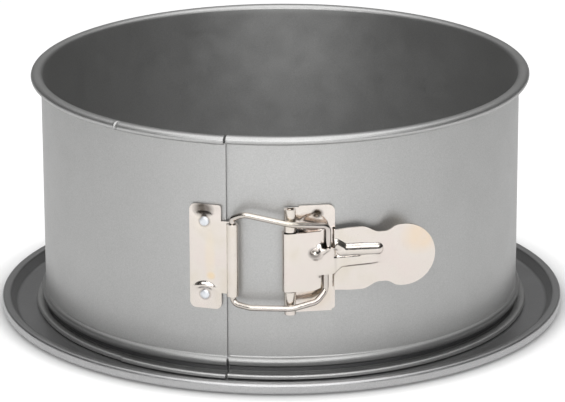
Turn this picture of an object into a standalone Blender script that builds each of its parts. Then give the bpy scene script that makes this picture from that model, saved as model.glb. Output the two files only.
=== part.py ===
"""Springform pan: a tray base, a split band that springs open, and a lever latch with a wire bail.

Metres, +Z up. The origin is on the floor under the middle of the pan and the latch faces -Y.
Latch pieces are drawn as if they stood at the very front, where x runs along the band to the
right and -y points away from it, and are then turned about the pan's axis to their place.
"""

import math

import bmesh
import bpy
from mathutils import Matrix, Vector

MM = 0.001

# The band: two half rings that meet at the back and lap at the front.
BAND_SHEET = 0.6 * MM
BAND_TOP = 103.05 * MM
BACK_RADIUS = 100.6 * MM      # outside of the wall at the back
INNER_RADIUS = 99.9 * MM      # outside of the lapped-under wall at the front
OUTER_RADIUS = 101.0 * MM     # outside of the lapping wall at the front
BAND_STEP = math.radians(7.5)
SEAM_ANGLE = math.radians(-12.6)
TONGUE_ANGLE = math.radians(-39.0)
SPLIT_GAP = 0.4 * MM
RIM_WIDTH = 4.6 * MM          # how far the rolled rim stands outside the wall
RIM_HEIGHT = 3.74 * MM
FOOT_WIDTH = 4.1 * MM         # the curl at the band's bottom edge
FOOT_LOW = 1.1 * MM
FOOT_HEIGHT = 2.2 * MM
BEAD_DEPTH = 1.8 * MM
BEAD_LOW = 5.7 * MM
BEAD_HEIGHT = 3.6 * MM
RIM_START = -125              # where the rim's curl starts and the foot's curl ends, in degrees
FOOT_END = 460
TONGUE_CLEAR = 0.5 * MM       # from the tongue's edges to the rim and the bead that cover it

# The base: a raised floor inside the band and a wider tray with a rolled edge.
BASE_SHEET = 0.8 * MM
FLOOR_RADIUS = 99.0 * MM
FLOOR_TOP = 8.0 * MM
FLOOR_EDGE = 1.2 * MM         # bend radii, in the middle of the sheet
RISER_FOOT = 0.8 * MM
TRAY_BEND = 2.2 * MM
TRAY_FLAT = 112.4 * MM        # where the tray's floor starts to bend up
TRAY_RADIUS = 119.6 * MM
ROLL_WIDTH = 4.0 * MM
ROLL_HEIGHT = 4.5 * MM
ROLL_TOP = 5.15 * MM
BASE_STEPS = 48

# The latch.
LATCH_HEIGHT = 51.4 * MM      # middle of the lever and of the pin
CATCH_HEIGHT = 51.7 * MM      # middle of each plate
BRACKET_HEIGHT = 51.95 * MM
PLATE_TALL = 43.8 * MM
PLATE_SHEET = 0.8 * MM
PLATE_CORNER = 2.6 * MM
CATCH_ANGLE = math.radians(-17.5)
CATCH_SEAT = OUTER_RADIUS + 0.4 * MM
CATCH_LEFT = 6.3 * MM         # the plate's edges, from its middle
CATCH_RIGHT = 7.0 * MM
EAR_REACH = 12.35 * MM        # from the middle of the catch plate to the axis of its ear
EAR_LOW = 36.8 * MM
EAR_HIGH = 67.1 * MM
BRACKET_ANGLE = math.radians(7.8)
BRACKET_SEAT = INNER_RADIUS + 0.4 * MM
BRACKET_HALF = 7.7 * MM
KNUCKLE_START = 6.9 * MM      # where the bracket's knuckles leave its plate
PIN_REACH = 10.65 * MM        # from the middle of the bracket to the pin
KNUCKLE_RADIUS = 2.0 * MM     # middle of the rolled sheet, on both plates
KNUCKLE_LOW = 29.3 * MM
KNUCKLE_HIGH = 73.3 * MM
PIN_RADIUS = 1.25 * MM
PIN_INSET = 1.0 * MM          # from the pin's ends to the knuckles' ends
PIN_EDGE = 0.3 * MM
RIVET_HEAD = 2.1 * MM
RIVET_LIFT = 0.1 * MM         # from the plate to the underside of the head
RIVET_RISE = 0.8 * MM
RIVET_SHANK = 1.1 * MM
RIVET_HOLE = 1.4 * MM

LEVER_ANGLE = math.radians(13.6)
LEVER_SHEET = 0.9 * MM
LEVER_ROLL = 2.35 * MM        # half-thickness and half-width of the roll round the pin
LEVER_BULGE = 2.75 * MM
LEVER_HALF = 12.2 * MM
LEVER_GAP = 0.4 * MM          # to the knuckles above and below it
LEVER_CORNER = 1.2 * MM
LEVER_BEND = 4.0 * MM         # where the roll ends and the flat sheet starts, from the pin
THUMB_REACH = 46.35 * MM
THUMB_RADIUS = 12.9 * MM
NOTCH_START = 11.9 * MM
NOTCH_END = 17.5 * MM
NECK_START = 9.2 * MM
NECK_END = 19.6 * MM
NECK_HALF = 5.5 * MM
SADDLE_RISE = 1.3 * MM
RIB_START = 19.8 * MM
RIB_END = 37.6 * MM
RIB_HALF = 3.9 * MM
RIB_RISE = 1.2 * MM
RIB_HEIGHT = 0.8 * MM         # middle of the rib above the middle of the lever

# Distances from the pin in mm: the saddle's section with how far it is raised, from 0 to 1, and
# the half-height of the lever's shoulder and waist.
SADDLE_LINE = ((8.2, 0), (9.9, 0), (11.7, 1), (16.6, 1), (18.6, 0), (20.6, 0))
SHOULDER_LINE = ((17.5, 12.6), (25, 13.1), (29, 13.1), (31.5, 12.3), (34, 10.8), (37, 10.5), (40, 10.95))
SHOULDER_HALF = 13.1 * MM

WIRE_RADIUS = 1.25 * MM

# Corners of the bail's wire in mm: x, y, z and bend radius. Its ends meet under the saddle, and
# the ear's corners are on the axis of the ear.
BAIL_UPPER = (
    (18.55, -101.35, 52.6, 0),
    (18.55, -101.35, 65.6, 3.0),
    (4.1, -107.6, 68.1, 12),
    (-14.8, -105.7, 71.9, 5),
)
BAIL_EAR = ((69.3, 2.2), (33.6, 3.4))
BAIL_LOWER = (
    (-12.5, -106.2, 32.9, 6),
    (4.1, -107.6, 32.9, 12),
    (14.0, -104.6, 34.8, 5),
    (17.55, -101.35, 38.5, 3.4),
    (17.55, -101.35, 52.0, 0),
)

# Each pair of rivets: the angle of its plate, how far sideways, its middle height, and how far
# above and below that the two are.
CATCH_ROW = (CATCH_ANGLE, 0.0, 51.1 * MM, 15.4 * MM)
BRACKET_ROW = (BRACKET_ANGLE, -1.0 * MM, 50.9 * MM, 9.5 * MM)

CUT = 2.0 * MM                # how far cutters run past what they cut
DEEP = 9.0 * MM               # half-depth of a cutter that goes right through


def clear_scene():
    for item in list(bpy.data.objects):
        bpy.data.objects.remove(item, do_unlink=True)


def new_collection(name):
    collection = bpy.data.collections.new(name)
    bpy.context.scene.collection.children.link(collection)
    return collection


def metal(name, color, roughness, metallic=1.0):
    material = bpy.data.materials.new(name)
    material.use_nodes = True
    shader = material.node_tree.nodes["Principled BSDF"]
    shader.inputs["Base Color"].default_value = (*color, 1.0)
    shader.inputs["Roughness"].default_value = roughness
    shader.inputs["Metallic"].default_value = metallic
    return material


def turned(angle):
    """Where the front of the pan goes when it is turned about the pan's axis."""
    return Matrix.Rotation(angle, 4, "Z")


def arc(center, size, start, end, steps):
    """Points on an ellipse of half-widths size, from one angle to another in degrees."""
    points = []
    for i in range(steps + 1):
        angle = math.radians(start + (end - start) * i / steps)
        points.append((center[0] + size[0] * math.cos(angle), center[1] + size[1] * math.sin(angle)))
    return points


def filleted(corners, steps=3):
    """A closed outline from (x, y, radius) corners, each rounded by an arc of its radius."""
    outline = []
    for i, (x, y, radius) in enumerate(corners):
        here = Vector((x, y))
        if radius == 0:
            outline.append(tuple(here))
            continue
        back = (Vector(corners[i - 1][:2]) - here).normalized()
        ahead = (Vector(corners[(i + 1) % len(corners)][:2]) - here).normalized()
        half = back.angle(ahead) / 2
        middle = here + (back + ahead).normalized() * radius / math.sin(half)
        first = here + back * radius / math.tan(half) - middle
        turn = first.angle_signed(here + ahead * radius / math.tan(half) - middle)
        for k in range(steps + 1):
            spoke = first.copy()
            spoke.rotate(Matrix.Rotation(-turn * k / steps, 2))
            outline.append(tuple(middle + spoke))
    return outline


def strip(middle_line, thickness):
    """The closed outline of a bent strip of sheet, from the line through its middle."""
    line = [Vector(point) for point in middle_line]
    sides = ([], [])
    for i, point in enumerate(line):
        along = (line[min(i + 1, len(line) - 1)] - line[max(i - 1, 0)]).normalized()
        across = Vector((-along.y, along.x)) * thickness / 2
        sides[0].append(tuple(point + across))
        sides[1].append(tuple(point - across))
    return sides[0] + sides[1][::-1]


def to_mesh_object(source, collection):
    """A mesh object in a curve object's place, with its caps welded."""
    bpy.context.view_layer.update()
    evaluated = source.evaluated_get(bpy.context.evaluated_depsgraph_get())
    mesh = bpy.data.meshes.new_from_object(evaluated)
    work = bmesh.new()
    work.from_mesh(mesh)
    bmesh.ops.remove_doubles(work, verts=work.verts, dist=1e-6)
    bmesh.ops.recalc_face_normals(work, faces=work.faces)
    work.to_mesh(mesh)
    work.free()
    result = bpy.data.objects.new(source.name, mesh)
    result.matrix_world = source.matrix_world
    name = source.name
    bpy.data.objects.remove(source, do_unlink=True)
    result.name = name
    collection.objects.link(result)
    return result


def extruded(name, collection, outline, low, high, upright=False):
    """A solid from a closed outline: a plan from one height to another, or an upright (x, z)
    outline from one y to another."""
    curve = bpy.data.curves.new(name, "CURVE")
    curve.dimensions = "2D"
    curve.fill_mode = "BOTH"
    curve.extrude = (high - low) / 2
    spline = curve.splines.new("POLY")
    spline.points.add(len(outline) - 1)
    for point, (x, y) in zip(spline.points, outline):
        point.co = (x, y, 0.0, 1.0)
    spline.use_cyclic_u = True
    holder = bpy.data.objects.new(name, curve)
    bpy.context.scene.collection.objects.link(holder)
    middle = (low + high) / 2
    if upright:
        holder.matrix_world = Matrix.Translation((0, middle, 0)) @ Matrix.Rotation(math.pi / 2, 4, "X")
    else:
        holder.matrix_world = Matrix.Translation((0, 0, middle))
    solid = to_mesh_object(holder, collection)
    solid.data.transform(solid.matrix_world)
    solid.matrix_world = Matrix.Identity(4)
    return solid


def cylinder(name, collection, radius, length, place, sides=12):
    """A cylinder centred on its own origin, along its own Z."""
    mesh = bpy.data.meshes.new(name)
    work = bmesh.new()
    bmesh.ops.create_cone(
        work, cap_ends=True, segments=sides, radius1=radius, radius2=radius, depth=length
    )
    work.to_mesh(mesh)
    work.free()
    rod = bpy.data.objects.new(name, mesh)
    rod.matrix_world = place
    collection.objects.link(rod)
    return rod


def boolean(target, tool, operation="DIFFERENCE"):
    tool.hide_render = True
    tool.display_type = "WIRE"
    change = target.modifiers.new(operation.title(), "BOOLEAN")
    change.operation = operation
    change.object = tool
    change.solver = "EXACT"


def finish(piece, material):
    piece.data.materials.clear()
    piece.data.materials.append(material)
    piece.data.shade_smooth()
    piece.data.set_sharp_from_angle(angle=math.radians(30))


def ring(name, collection, profile, sweep, steps, sheet):
    """A pressed ring: an open (radius, z) line through the sheet, turned from +X, then thickened."""
    mesh = bpy.data.meshes.new(name)
    points = [(radius, 0.0, z) for radius, z in profile]
    mesh.from_pydata(points, [(i, i + 1) for i in range(len(points) - 1)], [])
    piece = bpy.data.objects.new(name, mesh)
    collection.objects.link(piece)
    screw = piece.modifiers.new("Turn", "SCREW")
    screw.angle = sweep
    screw.steps = steps
    screw.render_steps = steps
    screw.use_merge_vertices = True
    screw.merge_threshold = 0.00001
    shell = piece.modifiers.new("Sheet", "SOLIDIFY")
    shell.thickness = sheet
    shell.offset = 0.0
    shell.use_even_offset = True
    return piece


def band_profile(wall):
    """The line through the band's sheet, top to bottom, for a wall of this outside radius."""
    half = BAND_SHEET / 2
    face = wall - half
    rim = (RIM_WIDTH / 2, RIM_HEIGHT / 2 - half)
    foot = (FOOT_WIDTH / 2, FOOT_HEIGHT / 2 - half)
    top = arc((face + rim[0], BAND_TOP - RIM_HEIGHT / 2), rim, RIM_START, 180, 9)
    bead = arc((face, BEAD_LOW + BEAD_HEIGHT / 2), (BEAD_DEPTH, BEAD_HEIGHT / 2), 90, -90, 5)
    bottom = arc((face + foot[0], FOOT_LOW + FOOT_HEIGHT / 2), foot, 180, FOOT_END, 8)
    return top + bead + bottom


def half_band(name, collection, front, start, end):
    """A half ring from angle start to angle end, counted from the front. Its centre is off the
    pan's axis, so that both halves have one radius at the back and two where they lap."""
    radius = (BACK_RADIUS + front) / 2
    steps = round((end - start) / BAND_STEP)
    piece = ring(name, collection, band_profile(radius), end - start, steps, BAND_SHEET)
    piece.location = (0, (BACK_RADIUS - front) / 2, 0)
    piece.rotation_euler = (0, 0, start - math.pi / 2)
    return piece


def sector(name, cutters, start, end, low, high):
    """A cutter: a slice of a flat ring round the band between two angles."""
    inner = BACK_RADIUS - DEEP
    outer = BACK_RADIUS + DEEP
    degrees = (math.degrees(start) - 90, math.degrees(end) - 90)
    outline = arc((0, 0), (outer, outer), *degrees, 6)
    outline += arc((0, 0), (inner, inner), *degrees[::-1], 6)
    return extruded(name, cutters, outline, low, high)


def rivet_place(row, distance, side):
    """A rivet's place, its Z pointing away from the pan; side is 1 for the upper one, else -1."""
    angle, sideways, height, spread = row
    return (
        turned(angle)
        @ Matrix.Translation((sideways, -distance, height + side * spread))
        @ Matrix.Rotation(math.pi / 2, 4, "X")
    )


def rivet_holes(piece, cutters, row, seat):
    for side, label in ((1, "upper"), (-1, "lower")):
        place = rivet_place(row, seat, side)
        drill = cylinder(f"{piece.name}_{label}_hole", cutters, RIVET_HOLE, DEEP, place)
        boolean(piece, drill)


def make_band(parts, cutters, material):
    gap = SPLIT_GAP / 2 / BACK_RADIUS
    main = half_band("band_main", parts, INNER_RADIUS, TONGUE_ANGLE, math.pi - gap)
    seam = SEAM_ANGLE + 2 * gap
    past = TONGUE_ANGLE - CUT / BACK_RADIUS
    top = BAND_TOP - RIM_HEIGHT - TONGUE_CLEAR
    boolean(main, sector("tongue_rim_cut", cutters, past, seam, top, BAND_TOP + CUT))
    bottom = BEAD_LOW + BEAD_HEIGHT + TONGUE_CLEAR
    boolean(main, sector("tongue_foot_cut", cutters, past, seam, FOOT_LOW - CUT, bottom))
    rivet_holes(main, cutters, BRACKET_ROW, BRACKET_SEAT)
    free = half_band("band_free_end", parts, OUTER_RADIUS, gap - math.pi, SEAM_ANGLE)
    rivet_holes(free, cutters, CATCH_ROW, CATCH_SEAT)
    finish(main, material)
    finish(free, material)


def make_base(parts, material):
    half = BASE_SHEET / 2
    riser = FLOOR_RADIUS - half
    top = FLOOR_TOP - half
    roll = (ROLL_WIDTH / 2 - half, ROLL_HEIGHT / 2 - half)
    roll_middle = (TRAY_RADIUS - ROLL_WIDTH / 2, ROLL_TOP - ROLL_HEIGHT / 2)
    line = [(0.0, top)]
    line += arc((riser - FLOOR_EDGE, top - FLOOR_EDGE), (FLOOR_EDGE, FLOOR_EDGE), 90, 0, 3)
    line += arc((riser + RISER_FOOT, half + RISER_FOOT), (RISER_FOOT, RISER_FOOT), 180, 270, 2)
    line += arc((TRAY_FLAT, half + TRAY_BEND), (TRAY_BEND, TRAY_BEND), -90, -40, 2)
    line += arc(roll_middle, roll, 155, -140, 9)
    base = ring("base_plate", parts, line[::-1], 2 * math.pi, BASE_STEPS, BASE_SHEET)
    finish(base, material)


def knuckle_line(reach, seat, start, end):
    """A strip seen from above: along the plate, then rolled outwards round an axis at reach."""
    middle = -(seat + PLATE_SHEET / 2)
    return arc((reach, middle - KNUCKLE_RADIUS), (KNUCKLE_RADIUS, KNUCKLE_RADIUS), start, end, 8)


def make_catch(parts, cutters, material):
    """A flat plate with a rolled ear. The plan of the bent strip is cut to its upright outline."""
    middle = -(CATCH_SEAT + PLATE_SHEET / 2)
    line = [(-CATCH_LEFT - CUT, middle), (CATCH_RIGHT, middle)]
    line += knuckle_line(EAR_REACH, CATCH_SEAT, 90, -205)
    low = CATCH_HEIGHT - PLATE_TALL / 2
    high = CATCH_HEIGHT + PLATE_TALL / 2
    plate = extruded("catch_plate", parts, strip(line, PLATE_SHEET), low - CUT, high + CUT)
    tip = EAR_REACH + KNUCKLE_RADIUS + PLATE_SHEET + CUT
    corner = PLATE_CORNER
    outline = filleted(
        [
            (-CATCH_LEFT, low, corner),
            (CATCH_RIGHT, low, corner),
            (CATCH_RIGHT, EAR_LOW, 0),
            (tip, EAR_LOW, 0),
            (tip, EAR_HIGH, 0),
            (CATCH_RIGHT, EAR_HIGH, 0),
            (CATCH_RIGHT, high, corner / 2),
            (-CATCH_LEFT, high, corner),
        ]
    )
    shape = extruded("catch_outline", cutters, outline, middle - DEEP, middle + DEEP, upright=True)
    boolean(plate, shape, "INTERSECT")
    place_at_front((plate, shape), CATCH_ANGLE)
    rivet_holes(plate, cutters, CATCH_ROW, CATCH_SEAT)
    finish(plate, material)


def place_at_front(pieces, angle):
    for piece in pieces:
        piece.matrix_world = turned(angle)


def make_bracket(parts, cutters, material):
    """A flat plate with two rolled knuckles, and a gap between them for the lever."""
    middle = -(BRACKET_SEAT + PLATE_SHEET / 2)
    line = [(BRACKET_HALF + CUT, middle), (-KNUCKLE_START, middle)]
    line += knuckle_line(-PIN_REACH, BRACKET_SEAT, 90, 380)
    plate = extruded(
        "pivot_bracket", parts, strip(line, PLATE_SHEET), KNUCKLE_LOW - CUT, KNUCKLE_HIGH + 2 * CUT
    )
    low = BRACKET_HEIGHT - PLATE_TALL / 2
    high = BRACKET_HEIGHT + PLATE_TALL / 2
    tip = -PIN_REACH - KNUCKLE_RADIUS - PLATE_SHEET - CUT
    inner = -KNUCKLE_START
    gap = LEVER_HALF + LEVER_GAP
    corner = PLATE_CORNER
    right = BRACKET_HALF
    outline = filleted(
        [
            (tip, KNUCKLE_LOW, 0),
            (inner, KNUCKLE_LOW, 0),
            (inner, low, 0),
            (right, low, corner / 2),
            (right, high, corner),
            (inner, high, 0),
            (inner, KNUCKLE_HIGH, 0),
            (tip, KNUCKLE_HIGH, 0),
            (tip, LATCH_HEIGHT + gap, 0),
            (inner, LATCH_HEIGHT + gap, 0),
            (inner, LATCH_HEIGHT - gap, 0),
            (tip, LATCH_HEIGHT - gap, 0),
        ]
    )
    shape = extruded("bracket_outline", cutters, outline, middle - DEEP, middle + DEEP, upright=True)
    boolean(plate, shape, "INTERSECT")
    place_at_front((plate, shape), BRACKET_ANGLE)
    rivet_holes(plate, cutters, BRACKET_ROW, BRACKET_SEAT)
    finish(plate, material)


def make_rivet(name, parts, material, place, grip):
    """A domed head and a shank that ends flush inside the band; grip is what it clamps."""
    profile = [(0.0, RIVET_RISE)]
    profile += arc((0.0, 0.0), (RIVET_HEAD, RIVET_RISE), 65, 10, 2)
    profile += [(RIVET_HEAD, 0.0), (RIVET_SHANK, 0.0), (RIVET_SHANK, -grip), (0.0, -grip)]
    mesh = bpy.data.meshes.new(name)
    points = [(radius, 0.0, z) for radius, z in profile]
    mesh.from_pydata(points, [(i, i + 1) for i in range(len(points) - 1)], [])
    rivet = bpy.data.objects.new(name, mesh)
    parts.objects.link(rivet)
    screw = rivet.modifiers.new("Turn", "SCREW")
    screw.steps = 12
    screw.render_steps = 12
    screw.use_merge_vertices = True
    screw.merge_threshold = 0.00001
    rivet.matrix_world = place
    finish(rivet, material)


def make_rivets(parts, material):
    rows = (
        ("catch_rivet", CATCH_ROW, CATCH_SEAT, OUTER_RADIUS - BAND_SHEET),
        ("bracket_rivet", BRACKET_ROW, BRACKET_SEAT, INNER_RADIUS - BAND_SHEET),
    )
    for label, row, seat, inside in rows:
        head = seat + PLATE_SHEET + RIVET_LIFT
        for side, end in ((1, "upper"), (-1, "lower")):
            place = rivet_place(row, head, side)
            make_rivet(f"{label}_{end}", parts, material, place, head - inside)


def pivot():
    """The pin's axis, at the height of the middle of the lever."""
    outward = BRACKET_SEAT + PLATE_SHEET / 2 + KNUCKLE_RADIUS
    return turned(BRACKET_ANGLE) @ Vector((-PIN_REACH, -outward, LATCH_HEIGHT))


def make_pin(parts, material):
    length = KNUCKLE_HIGH - KNUCKLE_LOW - 2 * PIN_INSET
    place = Matrix.Translation(pivot())
    pin = cylinder("pivot_pin", parts, PIN_RADIUS, length, place, 16)
    edge = pin.modifiers.new("Edge", "BEVEL")
    edge.width = PIN_EDGE
    edge.segments = 1
    edge.limit_method = "ANGLE"
    finish(pin, material)


def lever_outlines():
    """Upright outlines of the lever's two flat parts, x from the pin and z from its middle."""
    tail = -LEVER_BULGE - CUT
    near = filleted(
        [
            (tail, -LEVER_HALF, 0),
            (NOTCH_START, -LEVER_HALF, LEVER_CORNER),
            (NOTCH_START, -NECK_HALF, 0),
            (NECK_START, -NECK_HALF, 0),
            (NECK_START, NECK_HALF, 0),
            (NOTCH_START, NECK_HALF, 0),
            (NOTCH_START, LEVER_HALF, LEVER_CORNER),
            (tail, LEVER_HALF, 0),
        ]
    )
    lower_edge = [(x * MM, -half * MM) for x, half in SHOULDER_LINE]
    thumb = arc((THUMB_REACH, 0), (THUMB_RADIUS, THUMB_RADIUS), -108, 108, 18)
    upper_edge = [(x, -z) for x, z in lower_edge[::-1]]
    neck = [(NOTCH_END, NECK_HALF), (NECK_END, NECK_HALF), (NECK_END, -NECK_HALF), (NOTCH_END, -NECK_HALF)]
    return near, lower_edge + thumb + upper_edge + neck


def make_lever(parts, cutters, material):
    """One pressed sheet: rolled round the pin, raised as a saddle over the bail, then a thumb pad."""
    flat = -LEVER_ROLL
    line = arc((0, 0), (LEVER_BULGE, LEVER_ROLL), -350, -90, 11)
    line += [(LEVER_BEND, flat), (THUMB_REACH + THUMB_RADIUS + CUT, flat)]
    height = SHOULDER_HALF + CUT
    lever = extruded("lever", parts, strip(line, LEVER_SHEET), -height, height)
    near, far = lever_outlines()
    whole = extruded("lever_outline", cutters, near, -DEEP, DEEP, upright=True)
    pad = extruded("lever_pad_outline", cutters, far, -DEEP, DEEP, upright=True)
    boolean(whole, pad, "UNION")
    boolean(lever, whole, "INTERSECT")
    outline = strip([(x * MM, flat - SADDLE_RISE * rise) for x, rise in SADDLE_LINE], LEVER_SHEET)
    saddle = extruded("lever_saddle", cutters, outline, -NECK_HALF, NECK_HALF)
    boolean(lever, saddle, "UNION")
    rib = extruded("lever_rib", cutters, arc((0, 0), (RIB_HALF, RIB_RISE), 0, 337.5, 15), RIB_START, RIB_END)
    rib.data.transform(Matrix.Rotation(math.pi / 2, 4, "Y"))
    rib.data.transform(Matrix.Translation((0, flat - LEVER_SHEET / 4, RIB_HEIGHT)))
    boolean(lever, rib, "UNION")
    place = Matrix.Translation(pivot()) @ Matrix.Rotation(LEVER_ANGLE, 4, "Z")
    for piece in (lever, whole, pad, saddle, rib):
        piece.matrix_world = place
    finish(lever, material)


def rounded_route(corners, steps=4):
    """Points of a wire's route from (point, bend radius) corners; its two ends stay sharp."""
    route = []
    for i, (point, radius) in enumerate(corners):
        if radius == 0:
            route.append(point)
            continue
        back = (corners[i - 1][0] - point).normalized()
        ahead = (corners[i + 1][0] - point).normalized()
        reach = radius / math.tan(back.angle(ahead) / 2)
        first = point + back * reach
        last = point + ahead * reach
        for k in range(steps + 1):
            t = k / steps
            route.append(first * (1 - t) ** 2 + point * 2 * t * (1 - t) + last * t * t)
    return route


def bail_route():
    """The bail's wire, from its upper end under the saddle round to its lower end."""
    ear = turned(CATCH_ANGLE) @ Vector((EAR_REACH, -(CATCH_SEAT + PLATE_SHEET / 2 + KNUCKLE_RADIUS), 0))
    upper = [(Vector((x, y, z)) * MM, radius * MM) for x, y, z, radius in BAIL_UPPER]
    middle = [(Vector((ear.x, ear.y, z * MM)), radius * MM) for z, radius in BAIL_EAR]
    lower = [(Vector((x, y, z)) * MM, radius * MM) for x, y, z, radius in BAIL_LOWER]
    return rounded_route(upper + middle + lower)


def make_bail(parts, material):
    curve = bpy.data.curves.new("wire_bail", "CURVE")
    curve.dimensions = "3D"
    curve.bevel_depth = WIRE_RADIUS
    curve.bevel_resolution = 2
    curve.use_fill_caps = True
    route = bail_route()
    spline = curve.splines.new("POLY")
    spline.points.add(len(route) - 1)
    for point, place in zip(spline.points, route):
        point.co = (*place, 1.0)
    holder = bpy.data.objects.new("wire_bail", curve)
    bpy.context.scene.collection.objects.link(holder)
    finish(to_mesh_object(holder, parts), material)


def main():
    clear_scene()
    parts = new_collection("springform_pan")
    cutters = new_collection("cutters")
    tin = metal("tinned_steel", (0.56, 0.56, 0.55), 0.34)
    nickel = metal("nickel_plate", (0.80, 0.76, 0.69), 0.2)
    rivet_steel = metal("rivet_steel", (0.74, 0.75, 0.78), 0.25)
    make_base(parts, tin)
    make_band(parts, cutters, tin)
    make_catch(parts, cutters, nickel)
    make_bracket(parts, cutters, nickel)
    make_rivets(parts, rivet_steel)
    make_pin(parts, nickel)
    make_lever(parts, cutters, nickel)
    make_bail(parts, nickel)


main()
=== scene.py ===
"""Looks for the springform pan: fine sheet-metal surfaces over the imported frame, and the studio.

Lengths are in millimetres until a mesh is made, and in metres in the studio. Angles on the pan
are counted in degrees from the front (-Y) towards +X. Latch pieces are drawn at the very front
and then turned to their place.
"""

import math

import bmesh
import bpy
from mathutils import Matrix, Vector


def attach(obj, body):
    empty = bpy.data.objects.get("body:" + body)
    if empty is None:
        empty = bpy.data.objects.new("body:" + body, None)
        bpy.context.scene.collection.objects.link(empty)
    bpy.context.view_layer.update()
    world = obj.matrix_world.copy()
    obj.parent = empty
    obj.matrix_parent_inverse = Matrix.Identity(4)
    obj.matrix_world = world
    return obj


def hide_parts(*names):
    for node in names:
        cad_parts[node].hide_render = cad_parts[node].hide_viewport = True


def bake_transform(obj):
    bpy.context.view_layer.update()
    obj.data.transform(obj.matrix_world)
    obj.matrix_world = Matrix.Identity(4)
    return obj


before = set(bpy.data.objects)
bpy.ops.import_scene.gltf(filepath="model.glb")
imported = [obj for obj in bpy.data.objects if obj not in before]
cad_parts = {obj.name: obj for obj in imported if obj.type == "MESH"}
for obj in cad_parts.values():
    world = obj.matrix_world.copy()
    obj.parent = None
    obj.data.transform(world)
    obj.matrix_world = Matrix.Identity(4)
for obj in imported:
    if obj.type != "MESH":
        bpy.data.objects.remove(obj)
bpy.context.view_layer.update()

MM = 0.001

# The band. A half ring is its radius and how far back its middle is from the pan's middle.
BAND_SHEET = 0.6
BAND_TOP = 103.0
BACK_RADIUS = 100.6
INNER_RADIUS = 99.9
OUTER_RADIUS = 101.0
RIGHT_HALF = ((BACK_RADIUS + INNER_RADIUS) / 2, (BACK_RADIUS - INNER_RADIUS) / 2)
LEFT_HALF = ((BACK_RADIUS + OUTER_RADIUS) / 2, (BACK_RADIUS - OUTER_RADIUS) / 2)
SEAM_ANGLE = -12.6
SEAM_GAP = 0.5
TONGUE_ANGLE = -39.0
TONGUE_TOP = 98.9
TONGUE_LOW = 9.9
SIDE_ANGLE = 90.0
RIM_HALF = (2.17, 1.53)
RIM_SWELL = (0.13, 0.04)
RIM_NOTCH = (0.62, 0.42)
RIM_DROP = 1.87
BEAD_RADIUS = 1.8
BEAD_MIDDLE = 7.3
BEAD_REACH = 2.4
FOOT_HALF = (2.05, 0.78)
FOOT_MIDDLE = 2.05
FOOT_TOP = 3.6
FOOT_SLIM = 0.3
FOOT_TAPER = (-88.0, -70.0)

# The base.
BASE_SHEET = 0.8
BASE_TOP = 8.0
RISER_RADIUS = 98.6
RISER_BENDS = (1.2, 0.8)
TRAY_FLAT = 112.4
TRAY_BEND = 2.2
TRAY_RADIUS = 119.58
ROLL_MIDDLE = 2.9
ROLL_HALF = (2.0, 2.25)

# The latch. Rivets are a sideways place and a height; ears and knuckles are pairs of heights.
PLATE_SHEET = 0.8
PLATE_HALF = 21.9
PLATE_CORNER = 2.6
SMALL_CORNER = 1.3
KNUCKLE_RADIUS = 2.0
CATCH_TURN = -17.5
CATCH_SEAT = 101.4
CATCH_MIDDLE = 51.7
CATCH_LEFT = -6.3
CATCH_RIGHT = 7.0
CATCH_RIVETS = ((0.0, 66.5), (0.0, 35.7))
EAR = (36.8, 67.1)
EAR_REACH = 12.35
BRACKET_TURN = 7.8
BRACKET_SEAT = 100.3
BRACKET_MIDDLE = 51.95
BRACKET_LEFT = -6.9
BRACKET_RIGHT = 7.7
BRACKET_RIVETS = ((-1.0, 60.4), (-1.0, 41.4))
KNUCKLES = ((29.3, 38.8), (64.0, 73.3))
PIN_REACH = 10.65
PIN_RADIUS = 1.25
PIVOT = Vector((3.3866, -103.1951, 51.4))
LEVER_TURN = 13.6
LEVER_SHEET = 0.9
LEVER_FLAT = 2.35
LEVER_BULGE = 2.75
LEVER_NOTCH = (11.9, 17.5)
LEVER_NECK = 5.5
THUMB_MIDDLE = 46.35
THUMB_RADIUS = 12.9
THUMB_START = (37.5, 43.5)
THUMB_TIP = 55.35
LEVER_END = 59.23
WIRE_RADIUS = 1.25
WIRE_SIDES = 20

# How finely the pieces are cut up.
BASE_SIDES = 288
RIVET_SIDES = 40
PIN_SIDES = 32
BAND_STEP = 1.25
END_STEP = 0.05
RIM_STEPS = 34
WALL_ROWS = 16
TONGUE_STEPS = 24
LAP_STEPS = 40
PLATE_ROWS = 76
CORNER_ROWS = 8
CATCH_COLUMNS = 30
BRACKET_COLUMNS = 32
CLOSE_ROWS = 0.2
ROLL_STEPS = 34
SIDE_ROWS = 18
NECK_ROWS = 40
TIP_STEPS = 14
CORNER_STEPS = 12
BEND_STEPS = 12


# ---------------------------------------------------------------- meshes

def arc(center, size, start, end, steps):
    """Points along an ellipse between two angles in degrees."""
    points = []
    for i in range(steps + 1):
        angle = math.radians(start + (end - start) * i / steps)
        x, y = size[0] * math.cos(angle), size[1] * math.sin(angle)
        points.append((center[0] + x, center[1] + y))
    return points


def rounded_square(center, size, start, end, steps, power):
    """An arc of a flattened ellipse; a power of 1 is a plain one and 0 a square."""
    points = []
    for x, y in arc((0.0, 0.0), (1.0, 1.0), start, end, steps):
        x = math.copysign(abs(x) ** power, x)
        y = math.copysign(abs(y) ** power, y)
        points.append((center[0] + size[0] * x, center[1] + size[1] * y))
    return points


def spaced(start, end, count):
    """Both ends and the even steps between them."""
    return [start + (end - start) * i / count for i in range(count + 1)]


def smooth(edge0, edge1, value):
    """0 up to one edge and 1 from the other, rising softly between them."""
    t = min(1.0, max(0.0, (value - edge0) / (edge1 - edge0)))
    return t * t * (3 - 2 * t)


def bell(distance, width):
    """1 at no distance, falling away over about a width."""
    return math.exp(-((distance / width) ** 2))


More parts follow.
